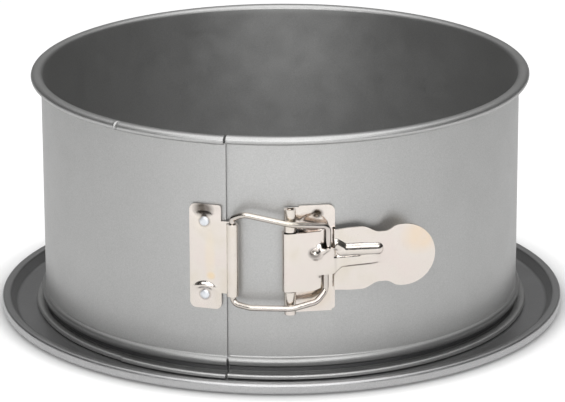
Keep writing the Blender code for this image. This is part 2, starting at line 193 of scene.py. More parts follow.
def bezier(first, middle, last, steps):
    """Points of a curve from first to last that bends towards middle, without first itself."""
    points = []
    for i in range(1, steps + 1):
        t = i / steps
        a, b, c = (1 - t) ** 2, 2 * t * (1 - t), t * t
        points.append(tuple(a * p + b * q + c * r for p, q, r in zip(first, middle, last)))
    return points


def both_sides(line, half):
    """The lines at half a sheet's thickness on each side of the line through its middle."""
    left, right = [], []
    for i, (x, y) in enumerate(line):
        ahead = line[min(i + 1, len(line) - 1)]
        behind = line[max(i - 1, 0)]
        dx, dy = ahead[0] - behind[0], ahead[1] - behind[1]
        size = math.hypot(dx, dy)
        left.append((x - dy / size * half, y + dx / size * half))
        right.append((x + dy / size * half, y - dx / size * half))
    return left, right


def link(item):
    bpy.context.scene.collection.objects.link(item)


def piece_from(name, points, faces, material, sharp=35.0):
    """An object from points in millimetres, smooth but for edges over an angle in degrees."""
    mesh = bpy.data.meshes.new(name)
    mesh.from_pydata([tuple(p * MM) for p in points], [], faces)
    work = bmesh.new()
    work.from_mesh(mesh)
    bmesh.ops.recalc_face_normals(work, faces=work.faces)
    work.to_mesh(mesh)
    work.free()
    mesh.shade_smooth()
    mesh.set_sharp_from_angle(angle=math.radians(sharp))
    mesh.materials.append(material)
    piece = bpy.data.objects.new(name, mesh)
    link(piece)
    return piece


def shell(name, outer, inner, keep, material, sharp=35.0):
    """A closed sheet between two grids of points, over the cells that keep accepts."""
    rows, columns = len(outer), len(outer[0])
    kept = {(i, j) for i in range(rows - 1) for j in range(columns - 1) if keep(i, j)}
    index, points, faces = {}, [], []

    def corner(side, spot):
        key = (side, *spot)
        if key not in index:
            index[key] = len(points)
            points.append(Vector((outer, inner)[side][spot[0]][spot[1]]))
        return index[key]

    for i, j in sorted(kept):
        ring = [(i, j), (i + 1, j), (i + 1, j + 1), (i, j + 1)]
        near = [(i, j - 1), (i + 1, j), (i, j + 1), (i - 1, j)]
        faces.append([corner(0, spot) for spot in ring])
        faces.append([corner(1, spot) for spot in ring[::-1]])
        for k, beside in enumerate(near):
            if beside not in kept:
                a, b = ring[k], ring[(k + 1) % 4]
                faces.append([corner(0, b), corner(0, a), corner(1, a), corner(1, b)])
    return piece_from(name, points, faces, material, sharp)


def turned(name, profile, sides, place, material):
    """A solid turned about its Z from a (radius, z) profile that starts and ends on the axis."""
    points, faces, rings = [], [], []
    for radius, z in profile:
        count = sides if radius > 0 else 1
        rings.append(range(len(points), len(points) + count))
        for k in range(count):
            angle = 2 * math.pi * k / sides
            points.append(place @ Vector((radius * math.cos(angle), radius * math.sin(angle), z)))
    for upper, lower in zip(rings, rings[1:]):
        for k in range(sides):
            ring = [upper[k % len(upper)], upper[(k + 1) % len(upper)]]
            ring += [lower[(k + 1) % len(lower)], lower[k % len(lower)]]
            faces.append(list(dict.fromkeys(ring)))
    return piece_from(name, points, faces, material)


def bevelled(piece, width):
    """Rounds the piece's sharp edges."""
    change = piece.modifiers.new("Edge", "BEVEL")
    change.width = width * MM
    change.segments = 2
    change.limit_method = "ANGLE"
    change.angle_limit = math.radians(50)


# ---------------------------------------------------------------- materials

TIN_METALLIC = 0.97
RIVET_METALLIC = 0.7
# Painted shade: a dark colour laid by height over the band's recess between its bead and foot, fading
# up over the bead, and faintly over the tray's floor. Each of the next two gives four heights in mm
# and a strength.
PAINTED_SHADE_COLOR = (0.05, 0.05, 0.055)
BAND_PAINTED_SHADE = (3.25, 3.6, 4.6, 9.6, 0.85)
TRAY_PAINTED_SHADE = (-1.0, -0.5, 0.9, 2.0, 0.2)
NICKEL_TINTS = (
    (0.3, (0.78, 0.715, 0.63)),
    (0.5, (0.81, 0.75, 0.695)),
    (0.68, (0.81, 0.73, 0.685)),
)
NICKEL_SCUFF = (0.42, 0.37, 0.31)

# Marks on the nickel plate, some of them painted shade and painted highlights: centre and half-sizes
# in mm, colour and strength.
MARK_HEART = 0.45
SEAT_SHADE = (0.13, 0.10, 0.085)
NICKEL_MARKS_AND_PAINTED_LIGHT = (
    # Painted shade in the dent over the catch plate's upper rivet, the plate's yellow streak and the
    # spot below it.
    ((-31.2, -97.3, 71.4), (4.9, 6.0, 3.9), (0.030, 0.020, 0.014), 1.0),
    ((-28.6, -98.0, 52.0), (2.6, 5.0, 13.0), (0.76, 0.65, 0.47), 0.35),
    ((-28.2, -98.0, 43.8), (2.2, 4.0, 2.0), (0.78, 0.60, 0.36), 0.6),
    # Painted shade: the grey rings round its rivets.
    ((-30.7, -97.5, 66.5), (2.8, 3.0, 2.8), SEAT_SHADE, 1.0),
    ((-30.7, -97.5, 35.7), (2.8, 3.0, 2.8), SEAT_SHADE, 1.0),
    # The heat tint on the thumb pad.
    ((55.5, -93.5, 58.5), (9.0, 8.0, 8.0), (0.76, 0.60, 0.42), 0.55),
    # The bracket's dent darkened with painted shade, the smear beside it and the tint low down.
    ((14.3, -100.2, 70.2), (2.9, 5.0, 2.4), (0.04, 0.03, 0.02), 1.0),
    ((10.5, -100.5, 69.0), (4.5, 5.0, 2.4), (0.40, 0.27, 0.17), 0.3),
    ((14.0, -100.5, 36.0), (8.0, 4.0, 7.0), (0.60, 0.52, 0.40), 0.5),
    # The ball at the lever's neck: a painted shade ring and a painted highlight in its middle; and
    # painted shade along the crease's line.
    ((13.2, -104.4, 55.0), (3.0, 3.5, 2.7), (0.035, 0.028, 0.022), 0.92),
    ((13.7, -104.7, 55.1), (1.1, 2.5, 1.0), (0.86, 0.81, 0.74), 1.0),
    ((31.0, -99.5, 48.7), (8.5, 8.0, 0.5), (0.10, 0.08, 0.07), 0.9),
)


def node(tree, kind, **settings):
    """A new shader node with its settings."""
    made = tree.nodes.new(kind)
    for key, value in settings.items():
        setattr(made, key, value)
    return made


def noise(tree, vector, scale, detail, roughness, distortion=0.0):
    made = node(tree, "ShaderNodeTexNoise")
    made.inputs["Scale"].default_value = scale
    made.inputs["Detail"].default_value = detail
    made.inputs["Roughness"].default_value = roughness
    made.inputs["Distortion"].default_value = distortion
    tree.links.new(vector, made.inputs["Vector"])
    return made.outputs["Fac"]


def ramp(tree, value, *stops):
    """A colour ramp with a colour at each (position, colour) stop."""
    made = node(tree, "ShaderNodeValToRGB")
    elements = made.color_ramp.elements
    while len(elements) < len(stops):
        elements.new(0.5)
    for element, (position, color) in zip(elements, stops):
        element.position = position
        element.color = (*color, 1.0)
    tree.links.new(value, made.inputs["Fac"])
    return made.outputs["Color"]


def span(tree, value, low, high, to_low, to_high):
    """A value's range from low to high mapped to another range, and held at its ends."""
    made = node(tree, "ShaderNodeMapRange")
    for key, number in zip(("From Min", "From Max", "To Min", "To Max"), (low, high, to_low, to_high)):
        made.inputs[key].default_value = number
    tree.links.new(value, made.inputs["Value"])
    return made.outputs["Result"]


def bump(tree, height, strength, distance, under=None):
    """A bumped normal, over another one if that is given."""
    made = node(tree, "ShaderNodeBump")
    made.inputs["Strength"].default_value = strength
    made.inputs["Distance"].default_value = distance
    tree.links.new(height, made.inputs["Height"])
    if under:
        tree.links.new(under, made.inputs["Normal"])
    return made.outputs["Normal"]


def new_metal(name):
    """A metal material, with its node tree, its shader and the place on the object."""
    material = bpy.data.materials.new(name)
    material.use_nodes = True
    tree = material.node_tree
    shader = tree.nodes["Principled BSDF"]
    shader.inputs["Metallic"].default_value = 1.0
    place = node(tree, "ShaderNodeTexCoord").outputs["Object"]
    return material, tree, shader, place


def satin_tin(name, light, dark, rough, shade_heights):
    """Satin sheet: a fine sandy grain, a faint cloudiness, slow changes of gloss, and painted shade
    between two heights, given as four heights in mm from unshaded to unshaded."""
    material, tree, shader, place = new_metal(name)
    shader.inputs["Metallic"].default_value = TIN_METALLIC
    cloud = noise(tree, place, 90.0, 3.0, 0.6)
    grain = noise(tree, place, 2100.0, 2.0, 0.6)
    color = ramp(tree, grain, (0.3, dark), (0.7, light))
    height = node(tree, "ShaderNodeSeparateXYZ")
    tree.links.new(place, height.inputs["Vector"])
    start, full, last, end = (z * MM for z in shade_heights[:4])
    rising = span(tree, height.outputs["Z"], start, full, 0.0, 1.0)
    falling = span(tree, height.outputs["Z"], last, end, 1.0, 0.0)
    # Painted shade: the colour darkens between the given heights.
    shade_amount = math_node(tree, "MULTIPLY", math_node(tree, "MULTIPLY", rising, falling), shade_heights[4])
    color = mixed(tree, shade_amount, color, PAINTED_SHADE_COLOR)
    tree.links.new(color, shader.inputs["Base Color"])
    tree.links.new(span(tree, cloud, 0.3, 0.7, rough - 0.03, rough + 0.03), shader.inputs["Roughness"])
    tree.links.new(bump(tree, grain, 0.25, 0.00006), shader.inputs["Normal"])
    return material


def spot_mask(tree, place, center, size):
    """1 in the heart of an ellipsoid on the object, falling softly to 0 at its surface."""
    shift = node(tree, "ShaderNodeVectorMath", operation="SUBTRACT")
    tree.links.new(place, shift.inputs[0])
    shift.inputs[1].default_value = tuple(v * MM for v in center)
    scale = node(tree, "ShaderNodeVectorMath", operation="DIVIDE")
    tree.links.new(shift.outputs["Vector"], scale.inputs[0])
    scale.inputs[1].default_value = tuple(v * MM for v in size)
    length = node(tree, "ShaderNodeVectorMath", operation="LENGTH")
    tree.links.new(scale.outputs["Vector"], length.inputs[0])
    return span(tree, length.outputs["Value"], MARK_HEART, 1.0, 1.0, 0.0)


def mixed(tree, amount, first, second):
    """One colour laid over another by a 0 to 1 amount."""
    made = node(tree, "ShaderNodeMix", data_type="RGBA")
    tree.links.new(amount, made.inputs[0])
    tree.links.new(first, made.inputs[6])
    if isinstance(second, tuple):
        made.inputs[7].default_value = (*second, 1.0)
    else:
        tree.links.new(second, made.inputs[7])
    return made.outputs[2]


def math_node(tree, operation, first, second=None, third=None):
    """Maths on shader values, each of which is a socket or a plain number."""
    made = node(tree, "ShaderNodeMath", operation=operation)
    for socket, value in zip(made.inputs, (first, second, third)):
        if value is None:
            continue
        if isinstance(value, float):
            socket.default_value = value
        else:
            tree.links.new(value, socket)
    return made.outputs["Value"]


def nickel(name, tone):
    """Bright warm nickel plate: pink and yellow tints, the marks, among them painted shade and painted
    highlights, faint scuffs and an uneven gloss. A lower tone is a darker plate."""
    material, tree, shader, place = new_metal(name)
    tint = noise(tree, place, 70.0, 3.0, 0.55, 0.3)
    stops = [(spot, tuple(v * tone for v in color)) for spot, color in NICKEL_TINTS]
    color = ramp(tree, tint, *stops)
    streaks = noise(tree, place, 900.0, 3.0, 0.6)
    wander = noise(tree, place, 260.0, 2.0, 0.5)
    # The marks laid over the colour hold tints and stains, and painted shade and painted highlights.
    for center, size, patch_color, strength in NICKEL_MARKS_AND_PAINTED_LIGHT:
        mask = spot_mask(tree, place, center, size)
        broken = math_node(tree, "MULTIPLY", mask, span(tree, wander, 0.35, 0.6, 0.75, 1.0))
        color = mixed(tree, math_node(tree, "MULTIPLY", broken, strength), color, patch_color)
    color = mixed(tree, span(tree, streaks, 0.62, 0.75, 0.0, 0.25), color, NICKEL_SCUFF)
    tree.links.new(color, shader.inputs["Base Color"])
    gloss = noise(tree, place, 300.0, 4.0, 0.6)
    tree.links.new(span(tree, gloss, 0.3, 0.7, 0.13, 0.23), shader.inputs["Roughness"])
    waves = noise(tree, place, 420.0, 2.0, 0.5)
    fine = noise(tree, place, 1800.0, 2.0, 0.5)
    soft = bump(tree, waves, 0.16, 0.0004)
    tree.links.new(bump(tree, fine, 0.10, 0.00005, soft), shader.inputs["Normal"])
    return material


def rivet_metal(name):
    """Paler, duller steel with a faint cloudiness."""
    material, tree, shader, place = new_metal(name)
    cloud = noise(tree, place, 700.0, 3.0, 0.6)
    color = ramp(tree, cloud, (0.3, (0.66, 0.685, 0.72)), (0.7, (0.80, 0.815, 0.84)))
    shader.inputs["Metallic"].default_value = RIVET_METALLIC
    tree.links.new(color, shader.inputs["Base Color"])
    tree.links.new(span(tree, cloud, 0.3, 0.7, 0.34, 0.46), shader.inputs["Roughness"])
    tree.links.new(bump(tree, cloud, 0.2, 0.0001), shader.inputs["Normal"])
    return material


TIN = satin_tin("satin_tin", (0.50, 0.50, 0.495), (0.42, 0.42, 0.415), 0.43, BAND_PAINTED_SHADE)
TIN_BASE = satin_tin("satin_tin_base", (0.50, 0.50, 0.50), (0.42, 0.42, 0.425), 0.36, TRAY_PAINTED_SHADE)
NICKEL = nickel("nickel_plate", 0.85)
NICKEL_WIRE = nickel("nickel_wire", 0.70)
RIVET = rivet_metal("rivet_steel")


# ---------------------------------------------------------------- base

def make_base():
    """The floor, its riser, the tray round it and the tray's edge, curled out and under."""
    half = BASE_SHEET / 2
    top = BASE_TOP - half
    shoulder, foot = RISER_BENDS
    line = [(0.4, top)]
    line += [(r, top) for r in spaced(8.0, 88.0, 10)]
    line += [(RISER_RADIUS - 6.0, top)]
    line += arc((RISER_RADIUS - shoulder, top - shoulder), (shoulder, shoulder), 90, 0, 10)
    line += arc((RISER_RADIUS + foot, half + foot), (foot, foot), 180, 270, 8)
    line += [(RISER_RADIUS + 3.0, half), (TRAY_FLAT - 2.0, half)]
    line += arc((TRAY_FLAT, half + TRAY_BEND), (TRAY_BEND, TRAY_BEND), -90, -40, 8)
    roll = (ROLL_HALF[0] - half, ROLL_HALF[1] - half)
    line += rounded_square((TRAY_RADIUS - ROLL_HALF[0], ROLL_MIDDLE), roll, 155, -140, 56, 0.5)
    upper, lower = both_sides(line, half)
    outline = [(0.0, upper[0][1])] + upper[1:] + lower[:0:-1] + [(0.0, lower[0][1])]
    base = turned("pan_base", outline, BASE_SIDES, Matrix.Identity(3), TIN_BASE)
    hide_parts("base_plate")
    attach(base, "base")


# ---------------------------------------------------------------- band

def band_line(angle, lapped):
    """The line through the band's sheet, top to bottom, as (offset from the wall's outside, z).
    Where lapped, the rim has a nick at the tongue's end and is fuller over the tongue, and the
    foot is slimmer to the left of it."""
    face = -BAND_SHEET / 2
    past = angle - TONGUE_ANGLE
    notch = swell = slim = 0.0
    if lapped:
        notch = bell(past, 0.22)
        swell = min(1.0, smooth(-0.2, 0.5, past) + 0.8 * bell(past + 0.62, 0.3))
        slim = smooth(*FOOT_TAPER, angle) * (1 - smooth(-0.2, 0.3, past))
    sizes = zip(RIM_HALF, RIM_SWELL, RIM_NOTCH)
    rim = tuple(half + more * swell - less * notch for half, more, less in sizes)
    line = arc((face + rim[0], BAND_TOP - RIM_DROP), rim, -125, 180, RIM_STEPS)
    line += [(face, z) for z in spaced(TONGUE_TOP, TONGUE_LOW, WALL_ROWS)]
    bead = arc((face, BEAD_MIDDLE), (BEAD_RADIUS, BEAD_RADIUS), 66, -66, BEND_STEPS)
    line += bezier((face, TONGUE_LOW), (face, BEAD_MIDDLE + BEAD_RADIUS), bead[0], 4) + bead[1:]
    below = (face, BEAD_MIDDLE - BEAD_RADIUS), (face, BEAD_MIDDLE - BEAD_REACH)
    line += bezier(bead[-1], *below, 4)
    line += [(face, FOOT_TOP)]
    foot = (FOOT_HALF[0] - FOOT_SLIM * slim, FOOT_HALF[1])
    line += rounded_square((face + foot[0], FOOT_MIDDLE), foot, 180, 460, ROLL_STEPS, 0.55)
    return line


TONGUE_COLUMNS = range(RIM_STEPS + 1, RIM_STEPS + 1 + WALL_ROWS)


def band_place(half, angle, offset, z):
    """A spot on a half ring at an angle, an offset out from the wall and a height."""
    radius, shift = half
    turn = math.radians(angle)
    return Vector(((radius + offset) * math.sin(turn), shift - (radius + offset) * math.cos(turn), z))


def band_angles(start, end, extra=()):
    """Even steps, with one close to each end so that neighbouring pieces meet smoothly."""
    count = round((end - start) / BAND_STEP)
    angles = set(spaced(start, end, count)) | {start + END_STEP, end - END_STEP} | set(extra)
    return sorted(angles)


def band_piece(name, half_at, angles, lapped, keep=None):
    """A stretch of the band over some angles, on the half ring that half_at names for each."""
    outer, inner = [], []
    for angle in angles:
        sides = both_sides(band_line(angle, lapped), BAND_SHEET / 2)
        half = half_at(angle)
        for grid, side in zip((outer, inner), sides):
            grid.append([band_place(half, angle, offset, z) for offset, z in side])
    piece = shell(name, outer, inner, keep or (lambda i, j: True), TIN)
    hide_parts("band_main", "band_free_end")
    return piece


def make_band():
    right_angles = band_angles(SEAM_ANGLE + SEAM_GAP, SIDE_ANGLE)
    tongue = spaced(TONGUE_ANGLE, SEAM_ANGLE, TONGUE_STEPS)
    angles = tongue + right_angles

    def right_keep(i, j):
        return i >= len(tongue) or j in TONGUE_COLUMNS

    right = band_piece("band_front_right", lambda a: RIGHT_HALF, angles, False, right_keep)
    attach(right, "band")
    fine = spaced(TONGUE_ANGLE - 1.6, TONGUE_ANGLE + 1.2, LAP_STEPS)
    left_angles = band_angles(-SIDE_ANGLE, SEAM_ANGLE, fine)
    left = band_piece("band_front_left", lambda a: LEFT_HALF, left_angles, True)
    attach(left, "band_side")
    back_angles = band_angles(SIDE_ANGLE, 360.0 - SIDE_ANGLE)

    def back_half(angle):
        return RIGHT_HALF if angle <= 180.0 else LEFT_HALF

    back = band_piece("band_back", back_half, back_angles, False)
    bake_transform(back)


# ---------------------------------------------------------------- latch plates

RIVET_SINK = 0.14
CATCH_DENT = 0.8
CATCH_FOLD = 0.9
BRACKET_DENT = 0.7
BRACKET_SINK = 0.3
PLATE_BEVEL = 0.14
SLACK = 1e-6
KNUCKLE_SIZE = (KNUCKLE_RADIUS, KNUCKLE_RADIUS)
EAR_START = 12.0
KNUCKLE_START = 0.3 - PIN_REACH
RIVET_STAND = 0.1
RIVET_SHANK = 1.1
RIVET_INSIDE = 1.0


def front(angle):
    """The turn from the pan's very front to an angle on it."""
    return Matrix.Rotation(math.radians(angle), 3, "Z")


def spot_bell(x, z, center, size):
    """A bell over an oval spot."""
    return bell(math.hypot((x - center[0]) / size[0], (z - center[1]) / size[1]), 1.0)


def catch_press(x, z):
    """How far the catch plate is drawn in: round its rivets, in a dent over the upper one, and
    out again in an arched fold over the lower one."""
    depth = 0.0
    for rivet_x, rivet_z in CATCH_RIVETS:
        depth += RIVET_SINK * (1 - smooth(2.4, 4.2, math.hypot(x - rivet_x, z - rivet_z)))
    upper, lower = CATCH_RIVETS
    depth += CATCH_DENT * spot_bell(x, z, (upper[0], upper[1] + 4.9), (4.2, 2.3))
    arch = z + (x - lower[0]) ** 2 * 0.06
    return depth - CATCH_FOLD * spot_bell(x, arch, (lower[0], lower[1] + 3.9), (4.2, 1.1))


def bracket_press(x, z):
    """A small dent at the top of the bracket, in a shallow drawn ring."""
    dent = BRACKET_DENT * spot_bell(x, z, (0.6, 70.6), (1.7, 1.2))
    return dent + BRACKET_SINK * smooth(5.4, 4.6, math.hypot(x + 1.0, (z - 66.5) * 1.3))


def plate(name, turn, heights, flat, middle, rolled, edges, keep, press):
    """A plate with a rolled edge. flat is the x of its flat's columns, middle the y of its sheet,
    rolled the plan points that follow, edges the flat's two ends at a height, keep says which
    cells there are, and press how far the sheet is pressed in."""
    outer, inner = [], []
    matrix = front(turn)
    first, last = flat[0], flat[-1]
    for z in heights:
        low, high = edges(z)
        plan = [(low + (x - first) * (high - low) / (last - first), middle) for x in flat]
        plan += rolled
        sides = both_sides(plan, PLATE_SHEET / 2)
        for grid, side in zip((outer, inner), sides):
            row = []
            for x, y in side:
                # The flat is pressed and the roll isn't.
                sink = press(x, z) if y > middle - 1.0 else 0.0
                row.append(matrix @ Vector((x, y + sink, z)))
            grid.append(row)
    piece = shell(name, outer, inner, keep, NICKEL, sharp=40.0)
    bevelled(piece, PLATE_BEVEL)
    return piece


def corner_cut(z, low, high, low_radius, high_radius):
    """How far a rounded corner takes an edge in at height z."""
    if low_radius and z < low + low_radius:
        return low_radius - math.sqrt(max(0.0, low_radius**2 - (low + low_radius - z) ** 2))
    if high_radius and z > high - high_radius:
        return high_radius - math.sqrt(max(0.0, high_radius**2 - (z - high + high_radius) ** 2))
    return 0.0


def plate_heights(low, high, marks):
    """Rows of a plate, closer at its rounded corners, with a row at each mark."""
    first, last = low + PLATE_CORNER, high - PLATE_CORNER
    rows = set(spaced(first, last, PLATE_ROWS)) | set(marks)
    for step in range(CORNER_ROWS + 1):
        reach = PLATE_CORNER * (1 - math.cos(step * math.pi / 2 / CORNER_ROWS))
        rows |= {low + reach, high - reach}
    kept = []
    for z in sorted(rows):
        close = bool(kept) and z - kept[-1] < CLOSE_ROWS
        if close and z not in marks and first <= z <= last:
            continue
        if close and z in marks and kept[-1] not in marks:
            kept.pop()
        kept.append(z)
    return kept


def within(heights, row, pair):
    """Whether a row of cells is between a pair of heights."""
    return pair[0] - SLACK <= heights[row] and heights[row + 1] <= pair[1] + SLACK


def make_catch():
    low, high = CATCH_MIDDLE - PLATE_HALF, CATCH_MIDDLE + PLATE_HALF
    heights = plate_heights(low, high, EAR)
    flat = spaced(CATCH_LEFT, CATCH_RIGHT, CATCH_COLUMNS)
    middle = -(CATCH_SEAT + PLATE_SHEET / 2)
    rolled = [(x, middle) for x in spaced(CATCH_RIGHT, EAR_START, BEND_STEPS)[1:]]
    rolled += arc((EAR_REACH, middle - KNUCKLE_RADIUS), KNUCKLE_SIZE, 90, -205, ROLL_STEPS)

    def edges(z):
        left = CATCH_LEFT + corner_cut(z, low, high, PLATE_CORNER, PLATE_CORNER)
        return left, CATCH_RIGHT - corner_cut(z, low, high, PLATE_CORNER, SMALL_CORNER)

    def keep(i, j):
        return j < CATCH_COLUMNS or within(heights, i, EAR)

    shape = (heights, flat, middle, rolled, edges, keep, catch_press)
    catch = plate("catch_plate_sheet", CATCH_TURN, *shape)
    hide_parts("catch_plate")
    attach(catch, "band_side")


def make_bracket():
    low, high = BRACKET_MIDDLE - PLATE_HALF, BRACKET_MIDDLE + PLATE_HALF
    heights = plate_heights(low, high, [z for pair in KNUCKLES for z in pair])
    flat = spaced(BRACKET_RIGHT, BRACKET_LEFT, BRACKET_COLUMNS)
    middle = -(BRACKET_SEAT + PLATE_SHEET / 2)
    rolled = [(x, middle) for x in spaced(BRACKET_LEFT, KNUCKLE_START, 8)[1:]]
    rolled += arc((-PIN_REACH, middle - KNUCKLE_RADIUS), KNUCKLE_SIZE, 90, 380, ROLL_STEPS)

    def edges(z):
        return BRACKET_RIGHT - corner_cut(z, low, high, SMALL_CORNER, PLATE_CORNER), BRACKET_LEFT

    def keep(i, j):
        return j < BRACKET_COLUMNS or any(within(heights, i, pair) for pair in KNUCKLES)

    shape = (heights, flat, middle, rolled, edges, keep, bracket_press)
    bracket = plate("pivot_bracket_sheet", BRACKET_TURN, *shape)
    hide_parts("pivot_bracket")
    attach(bracket, "band")


def make_rivets():
    rows = (
        ("catch_rivet", CATCH_TURN, CATCH_RIVETS, CATCH_SEAT, "band_side"),
        ("bracket_rivet", BRACKET_TURN, BRACKET_RIVETS, BRACKET_SEAT, "band"),
    )
    for label, turn, spots, seat, body in rows:
        head = seat + PLATE_SHEET + RIVET_STAND
        upright = front(turn) @ Matrix.Rotation(math.pi / 2, 3, "X")
        # The domed head from its top down, and the shank through the sheets.
        profile = [(0.0, 0.60), (0.5, 0.60), (0.9, 0.58)]
        profile += rounded_square((0.0, -0.3), (2.0, 0.88), 62, 12, 10, 0.7)
        profile += [(1.98, -0.2), (1.96, -0.5), (RIVET_SHANK, -0.6)]
        end_depth = seat - RIVET_INSIDE - head
        profile += [(RIVET_SHANK, end_depth), (0.0, end_depth)]
        for (sideways, height), end in zip(spots, ("upper", "lower")):
            spot = front(turn) @ Vector((sideways, -head, height))
            place = Matrix.Translation(spot) @ upright.to_4x4()
            rivet = turned(f"{label}_{end}_head", profile, RIVET_SIDES, place, RIVET)
            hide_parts(f"{label}_{end}")
            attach(rivet, body)


def make_pin():
    half = (KNUCKLES[1][1] - KNUCKLES[0][0]) / 2 - 1.0
    profile = [(0.0, half), (0.8, half - 0.05), (1.1, half - 0.2), (PIN_RADIUS, half - 0.5)]
    profile += [(PIN_RADIUS, z) for z in spaced(half - 1.0, 1.0 - half, BEND_STEPS)]
    profile += [(radius, -z) for radius, z in profile[3::-1]]
    pin = turned("pivot_pin_rod", profile, PIN_SIDES, Matrix.Translation(PIVOT), NICKEL)
    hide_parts("pivot_pin")
    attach(pin, "band")


# ---------------------------------------------------------------- lever

LEVER_BEVEL = 0.16
NEAR_HALF = 12.2
ARM_HALF = 13.1
SADDLE_LIFT = 1.3
BALL_LIFT = 1.1
ARM_LIFT = 0.8
HUMP_LIFT = 1.25
RIB_LIFT = 1.3
PLATEAU_LIFT = 0.6
CREASE_LOW = -3.1


def lever_half(s, upper):
    """Half of the lever's height at a distance s from the pin: the part at the pin, the arm with
    its waist, and the round thumb pad."""
    if s <= LEVER_NOTCH[0]:
        change = 0.2 * smooth(4.0, 11.0, s) if upper else -0.9 * smooth(8.4, 12.4, s)
        return NEAR_HALF + change
    side = ARM_HALF - 0.5 * (1 - smooth(LEVER_NOTCH[1], 25.0, s)) - 2.6 * smooth(29.0, 36.2, s)
    disc = math.sqrt(max(0.0, THUMB_RADIUS**2 - (s - THUMB_MIDDLE) ** 2))
    mix = smooth(*THUMB_START, s)
    return side * (1 - mix) + disc * mix


def stroke(s, dz, start, end, half, power):
    """How much of a pressed stroke of this half-width between two points is at a spot. A lower
    power makes it fuller."""
    ax, ay = start
    bx, by = end
    size = (bx - ax) ** 2 + (by - ay) ** 2
    t = min(1.0, max(0.0, ((s - ax) * (bx - ax) + (dz - ay) * (by - ay)) / size))
    away = math.hypot(s - ax - t * (bx - ax), dz - ay - t * (by - ay)) / half
    return (1.0 - min(1.0, away) ** 2) ** power


def lever_lift(s, dz):
    """How far the lever's sheet stands out from its flat, at a distance from the pin and a height
    over its middle: the saddle over the wire, the ball and its arm, the hump and the rib, and the
    low plateau whose lower edge is the crease."""
    saddle = smooth(9.4, 11.8, s) * (1 - smooth(16.5, 18.6, s))
    saddle *= 1 - smooth(5.0, 7.6, abs(dz))
    ball = BALL_LIFT * stroke(s, dz, (9.7, 2.7), (10.3, 3.1), 2.6, 1.3)
    arm = ARM_LIFT * stroke(s, dz, (10.8, 3.5), (14.4, 6.0), 1.9, 1.3)
    hump = HUMP_LIFT * stroke(s, dz, (18.3, 6.4), (21.2, 4.4), 2.2, 0.9)
    rib = RIB_LIFT * stroke(s, dz, (20.8, 3.8), (35.2, 3.2), 2.6, 0.9)
    low = CREASE_LOW + 0.7 * smooth(20.0, 37.0, s) - 2.4 * (1 - smooth(17.2, 21.0, s))
    along = smooth(16.4, 18.0, s) * (1 - smooth(34.0, 38.0, s))
    plateau = along * smooth(low - 0.15, low + 0.4, dz) * (1 - smooth(0.8, 2.2, dz))
    return SADDLE_LIFT * saddle + max(ball, arm) + max(hump, rib, PLATEAU_LIFT * plateau)


def lever_columns():
    """Distances from the pin of the lever's columns, closer at the neck and at the tip."""
    near = spaced(0.0, 9.0, 18)[1:] + spaced(9.0, LEVER_NOTCH[0], 12)[1:]
    neck = spaced(*LEVER_NOTCH, 18)[1:]
    far = spaced(LEVER_NOTCH[1], 38.0, 82)[1:] + spaced(38.0, THUMB_TIP, 36)[1:]
    rest = LEVER_END - THUMB_TIP
    tip = [THUMB_TIP + rest * math.sin(math.pi / 2 * k / TIP_STEPS) for k in range(1, TIP_STEPS + 1)]
    return near + neck + far + tip


def lever_heights(s):
    """Heights of the lever's rows at a distance from the pin: below, across and above its neck."""
    upper, lower = lever_half(s, True), lever_half(s, False)
    top_neck, low_neck = min(LEVER_NECK, upper / 2), min(LEVER_NECK, lower / 2)
    below = [-lower + (lower - low_neck) * t for t in spaced(0.0, 1.0, SIDE_ROWS)[:-1]]
    across = [t * (top_neck if t > 0 else low_neck) for t in spaced(-1.0, 1.0, NECK_ROWS)]
    above = [top_neck + (upper - top_neck) * t for t in spaced(0.0, 1.0, SIDE_ROWS)[1:]]
    return below + across + above


def make_lever():
    roll = rounded_square((0.0, 0.0), (LEVER_BULGE, LEVER_FLAT), -350, -90, 44, 0.66)
    columns = lever_columns()
    plan = roll + [(s, -LEVER_FLAT) for s in columns]
    first_neck, last_neck = (len(roll) + columns.index(s) for s in LEVER_NOTCH)
    place = Matrix.Translation(PIVOT) @ Matrix.Rotation(math.radians(LEVER_TURN), 4, "Z")
    outer, inner = [], []
    for grid, side in zip((outer, inner), both_sides(plan, LEVER_SHEET / 2)):
        for k, (x, y) in enumerate(side):
            flat = k >= len(roll)
            s = plan[k][0] if flat else 0.0
            row = []
            for dz in lever_heights(s):
                lift = lever_lift(s, dz) if flat else 0.0
                row.append(place @ Vector((x, y - lift, dz)))
            grid.append(row)

    def keep(i, j):
        return not first_neck <= i < last_neck or SIDE_ROWS <= j < SIDE_ROWS + NECK_ROWS

    piece = shell("lever_sheet", outer, inner, keep, NICKEL, sharp=45.0)
    bevelled(piece, LEVER_BEVEL)
    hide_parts("lever")
    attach(piece, "latch_lever")


# ---------------------------------------------------------------- bail

